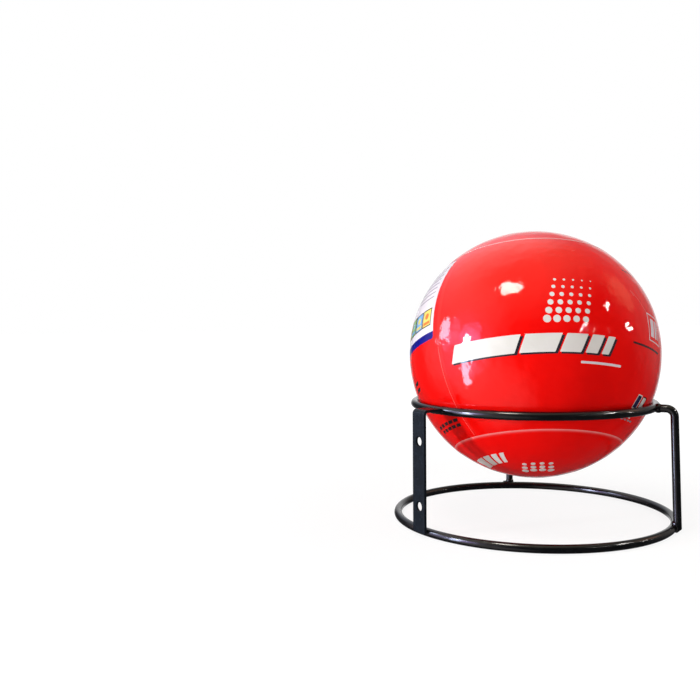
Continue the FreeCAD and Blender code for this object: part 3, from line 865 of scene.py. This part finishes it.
@dataclass
class Dressing:
    """Materials of the CAD nodes that stay as they are."""

    coat: PowderCoat = PowderCoat("coat_black_gloss")
    # The strap's coat is the rods' black coat, with its colour tinted blue as a painted reflection of the
    # blue window.
    strap_coat_painted_reflection: PowderCoat = PowderCoat(
        "coat_black_strap_painted_blue_reflection", (0.005, 0.0085, 0.0125), (0.008, 0.012, 0.017), 0.24, 0.055
    )
    foam: BeadFoam = BeadFoam("foam_white_beads")
    plastic: Grain = Grain("plastic_moulded", (0.72, 0.72, 0.69), (0.66, 0.66, 0.63), 900, 0.00002, 0.42)
    powder: Grain = Grain("powder_packed", (0.86, 0.78, 0.42), (0.9, 0.84, 0.55), 2400, 0.00006, 0.9)
    paper: Grain = Grain("paper_rolled", (0.42, 0.29, 0.16), (0.52, 0.38, 0.22), 700, 0.00004, 0.8)
    charge: Grain = Grain("charge_grains", (0.06, 0.06, 0.064), (0.14, 0.14, 0.145), 1800, 0.0001, 0.7)
    fuse: Grain = Grain("fuse_coated", (0.05, 0.16, 0.05), (0.09, 0.24, 0.08), 1500, 0.00006, 0.5)

    def plan(self) -> dict[str, tuple[PowderCoat | BeadFoam | Grain, str]]:
        """Says what each node is dressed in.

        Returns:
            The finish and the slot of the record, by the node's name.
        """
        black, inner = "black_coat", "stopper_plastic"
        rods = ("base_ring", "seat_ring", "rod_leg_1", "rod_leg_2", "weld_beads")
        nodes = {name: (self.coat, black) for name in rods}
        # The strap takes the blue-tinted coat, whose colour holds a painted reflection.
        nodes["wall_strap"] = (self.strap_coat_painted_reflection, black)
        for name in ("stopper_top", "stopper_bottom", "tube_end_top", "tube_end_bottom"):
            nodes[name] = (self.plastic, inner)
        nodes["foam_shell_top"] = nodes["foam_shell_bottom"] = (self.foam, "white_foam")
        nodes["powder_fill"] = (self.powder, "dry_powder")
        nodes["charge_tube"] = (self.paper, "tube_paper")
        nodes["burst_charge"] = (self.charge, "charge_mix")
        nodes["fuse_strand_1"] = nodes["fuse_strand_2"] = (self.fuse, "fuse_cord")
        return nodes

    def build(self) -> None:
        """Dresses every CAD node that shows as itself."""
        made: dict[str, bpy.types.Material] = {}
        for name, (finish, slot) in self.plan().items():
            if finish.name not in made:
                made[finish.name] = finish.make()
            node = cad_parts[name]
            node.data.materials.clear()
            node.data.materials.append(made[finish.name])
            LOG.info("%s: %s", name, finish.name)


@dataclass
class Studio:
    """Floor, backdrop, lamps and camera round the ball."""

    ball: BallFrame
    eye: tuple[float, float, float] = (-0.36543, -0.38105, 0.1253)
    heading: tuple[float, float, float] = (-31.59, 87.61, -0.51)
    lens: float = 43.27
    floor_colour: Colour = (0.62, 0.62, 0.62)
    floor_reach: float = 6.0
    floor_depth: float = 0.2 * MM
    floor_glow: float = 1.1
    floor_clearing: tuple[float, float] = (0.14, 0.45)
    room: Colour = (0.1, 0.1, 0.1)
    dim: Colour = (0.08, 0.08, 0.085)
    glows: tuple[tuple[tuple[float, float], float, Colour], ...] = (
        ((156, 14), 56, (1.7, 1.45, 1.55)),
        ((187, -30), 42, (1.3, 1.2, 1.15)),
        ((150, 78), 62, (1.45, 1.25, 0.9)),
        ((80, 48), 42, (0.8, 0.85, 1.0)),
        ((352, 22), 40, (0.35, 0.32, 0.3)),
        ((341, 33), 15, (1.6, 0.75, 0.4)),
        ((45, 2), 32, (0.85, 0.85, 0.85)),
        ((45, 32), 34, (0.2, 0.2, 0.2)),
        ((160, 6), 34, (0.7, 0.95, 1.9)),
        ((168.6, 12), 16, (8.0, 5.6, 13.0)),
        ((168.6, -7), 13, (4.0, 3.2, 6.0)),
        ((146, 13), 12, (4.0, 3.0, 6.0)),
    )
    small_radiance: float = 300.0
    small_lamps: tuple[tuple[float, float, float, float], ...] = (
        (309, 34, 4.4, 3.8),
        (274, 23, 1.5, 1.2),
        (284, 21, 1.0, 1.0),
        (296, 19, 1.1, 1.1),
        (321, 15, 2.0, 1.7),
    )

    def camera(self) -> None:
        """Sets the camera at the photograph's place."""
        data = bpy.data.cameras.new("camera")
        data.lens = self.lens
        data.sensor_width = 36.0
        camera = bpy.data.objects.new("camera", data)
        turn, nod, roll = (math.radians(a) for a in self.heading)
        level = Matrix.Rotation(turn, 4, "Z") @ Matrix.Rotation(nod, 4, "X")
        camera.matrix_world = Matrix.Translation(Vector(self.eye)) @ level @ Matrix.Rotation(roll, 4, "Z")
        data.clip_start = 0.01
        bpy.context.scene.collection.objects.link(camera)
        bpy.context.scene.camera = camera

    def lamp(
        self,
        name: str,
        toward: tuple[float, float],
        size: tuple[float, float],
        radiance: float,
        colour: Colour,
        distance: float = 1.0,
        lights: bool = True,
        mirrors: bool = True,
    ) -> None:
        """Adds an area lamp that faces the ball.

        Args:
            name: the lamp's name.
            toward: azimuth and elevation from the ball, in degrees.
            size: how wide and high it looks from the ball, in degrees.
            radiance: its brightness, where 1 is white.
            colour: its tint.
            distance: metres from the ball.
            lights: whether it lights dull surfaces.
            mirrors: whether gloss shows it.
        """
        away = self.unit(toward)
        data = bpy.data.lights.new(name, "AREA")
        data.shape = "RECTANGLE"
        data.size, data.size_y = (2 * distance * math.tan(math.radians(a) / 2) for a in size)
        data.energy = radiance * math.pi * data.size * data.size_y
        data.color = colour
        lamp = bpy.data.objects.new(name, data)
        lamp.location = self.ball.centre + away * distance
        lamp.rotation_euler = away.to_track_quat("Z", "Y").to_euler()
        lamp.visible_camera = False
        lamp.visible_diffuse = lights
        lamp.visible_glossy = mirrors
        bpy.context.scene.collection.objects.link(lamp)

    @staticmethod
    def unit(toward: tuple[float, float]) -> Vector:
        """Turns a direction in degrees into a vector.

        Args:
            toward: azimuth and elevation.

        Returns:
            The unit vector.
        """
        azimuth, rise = (math.radians(a) for a in toward)
        level = math.cos(rise)
        return Vector((level * math.cos(azimuth), level * math.sin(azimuth), math.sin(rise)))

    def lamps(self) -> None:
        """A soft lamp high at left, a window at left, and a few small lamps at right."""
        warm, cool, cream = (1.0, 0.96, 0.92), (0.86, 0.92, 1.0), (1.0, 0.93, 0.84)
        sky = (0.62, 0.76, 1.0)
        self.lamp("overhead", (187, 67), (26, 22), 10.5, warm, 1.2, mirrors=False)
        self.lamp("window", (168.6, 4), (4.6, 24), 72, cool, 0.7, mirrors=False)
        self.lamp("front_fill", (213, 6), (50, 40), 1.7, warm, 1.0, mirrors=False)
        self.lamp("low_fill", (213, -25), (40, 30), 0.55, warm, 1.0, mirrors=False)
        self.lamp("back_fill", (343, 30), (70, 60), 1.5, warm, 1.0, mirrors=False)
        self.lamp("overhead_face", (193, 60.8), (13, 11), 60, cream, 1.2, lights=False)
        self.lamp("window_face", (168.6, -4), (8, 36), 38, sky, 0.6, lights=False)
        self.lamp("window_top", (168.6, 11), (6, 8), 110, cool, 0.59, lights=False)
        self.lamp("window_side", (142, 16), (11, 14), 25, sky, 0.6, lights=False)
        for number, (azimuth, rise, width, height) in enumerate(self.small_lamps):
            size, radiance = (width, height), self.small_radiance
            self.lamp(f"small_{number}", (azimuth, rise), size, radiance, warm, 0.9, lights=False)

    def world(self) -> None:
        """White backdrop to the camera; gloss sees it white behind and dim towards the room."""
        world = bpy.data.worlds.new("studio")
        world.use_nodes = True
        tree = world.node_tree
        tree.nodes.clear()

        def add(kind: str, **settings: object) -> bpy.types.Node:
            """Adds a node to the world's tree.

            Args:
                kind: Blender's name of the node type.
                settings: properties of the node, by name.

            Returns:
                The new node.
            """
            node = tree.nodes.new(kind)
            for key, value in settings.items():
                setattr(node, key, value)
            return node

        def mix(share: bpy.types.NodeSocket, start: object, end: object) -> bpy.types.NodeSocket:
            """Blends two colours or colour sockets.

            Args:
                share: 0 gives start and 1 gives end.
                start: a colour, or a socket that carries one.
                end: the other one.

            Returns:
                The blended colour's socket.
            """
            node = add("ShaderNodeMix", data_type="RGBA")
            tree.links.new(share, node.inputs["Factor"])
            for socket, value in (("A", start), ("B", end)):
                if isinstance(value, tuple):
                    node.inputs[socket].default_value = rgba(value)
                else:
                    tree.links.new(value, node.inputs[socket])
            return node.outputs["Result"]

        def vector(operation: str, first: object, second: object) -> bpy.types.Node:
            """Joins two vectors or vector sockets.

            Args:
                operation: Blender's name of the operation.
                first: a vector, or a socket that carries one.
                second: the other one.

            Returns:
                The new node.
            """
            node = add("ShaderNodeVectorMath", operation=operation)
            for socket, value in zip(node.inputs, (first, second)):
                if isinstance(value, bpy.types.NodeSocket):
                    tree.links.new(value, socket)
                else:
                    socket.default_value = value
            return node

        coords = add("ShaderNodeTexCoord").outputs["Generated"]
        total = self.dim
        for toward, reach, tint in self.glows:
            facing = vector("DOT_PRODUCT", coords, self.unit(toward)).outputs["Value"]
            share = add("ShaderNodeMapRange", interpolation_type="SMOOTHSTEP")
            share.inputs["From Min"].default_value = math.cos(math.radians(reach))
            tree.links.new(facing, share.inputs["Value"])
            glow = vector("MULTIPLY", tint, share.outputs["Result"]).outputs["Vector"]
            total = vector("ADD", total, glow).outputs["Vector"]
        path = add("ShaderNodeLightPath")
        seen = add("ShaderNodeMath", operation="ADD", use_clamp=True)
        tree.links.new(path.outputs["Is Camera Ray"], seen.inputs[0])
        tree.links.new(path.outputs["Is Transmission Ray"], seen.inputs[1])
        colour = mix(path.outputs["Is Glossy Ray"], self.room, total)
        colour = mix(seen.outputs["Value"], colour, (1.0, 1.0, 1.0))
        background = add("ShaderNodeBackground")
        tree.links.new(colour, background.inputs["Color"])
        output = add("ShaderNodeOutputWorld")
        tree.links.new(background.outputs["Background"], output.inputs["Surface"])
        bpy.context.scene.world = world

    def floor(self) -> None:
        """A pale floor that shows white to the camera and keeps the stand's soft shadow."""
        reach, depth = self.floor_reach, self.floor_depth
        mesh = bpy.data.meshes.new("studio_floor")
        corners = [(-reach, -reach), (reach, -reach), (reach, reach), (-reach, reach)]
        mesh.from_pydata([(x, y, -depth) for x, y in corners], [], [(0, 1, 2, 3)])
        floor = bpy.data.objects.new("studio_floor", mesh)
        bpy.context.scene.collection.objects.link(floor)
        floor.visible_glossy = floor.visible_shadow = False
        shader = Shader("floor_pale")
        shader.set(Roughness=1.0, Specular_IOR_Level=0.0)
        shader.set(Base_Color=rgba(self.floor_colour))
        tree = shader.tree
        length = shader.add("ShaderNodeVectorMath", operation="LENGTH")
        tree.links.new(shader.place, length.inputs[0])
        clean = shader.remap(length.outputs["Value"], *self.floor_clearing, 0.8, 1.0)
        path = shader.add("ShaderNodeLightPath")
        seen = shader.add("ShaderNodeMath", operation="ADD", use_clamp=True)
        tree.links.new(path.outputs["Is Camera Ray"], seen.inputs[0])
        tree.links.new(path.outputs["Is Transmission Ray"], seen.inputs[1])
        share = shader.add("ShaderNodeMath", operation="MULTIPLY")
        tree.links.new(clean, share.inputs[0])
        tree.links.new(seen.outputs["Value"], share.inputs[1])
        glow = shader.add("ShaderNodeEmission")
        glow.inputs["Strength"].default_value = self.floor_glow
        both = shader.add("ShaderNodeMixShader")
        tree.links.new(share.outputs["Value"], both.inputs["Fac"])
        tree.links.new(shader.surface.outputs["BSDF"], both.inputs[1])
        tree.links.new(glow.outputs["Emission"], both.inputs[2])
        tree.links.new(both.outputs["Shader"], tree.nodes["Material Output"].inputs["Surface"])
        mesh.materials.append(shader.material)

    def build(self) -> None:
        """Sets up the whole studio."""
        self.camera()
        self.floor()
        self.lamps()
        self.world()
        bpy.context.scene.view_settings.view_transform = "Standard"


def main() -> None:
    """Builds the ball's skin and print, dresses the CAD nodes and sets up the studio."""
    logging.basicConfig(level=logging.INFO, format="%(name)s %(message)s")
    ball = BallFrame()
    skin = FilmSkin(ball, Crinkle(CRINKLE_SEED, (TOP_RIM, BOTTOM_RIM)))
    skin.build()
    FilmPrint(skin).build()
    Dressing().build()
    Studio(ball).build()


if __name__ == "__main__":
    main()
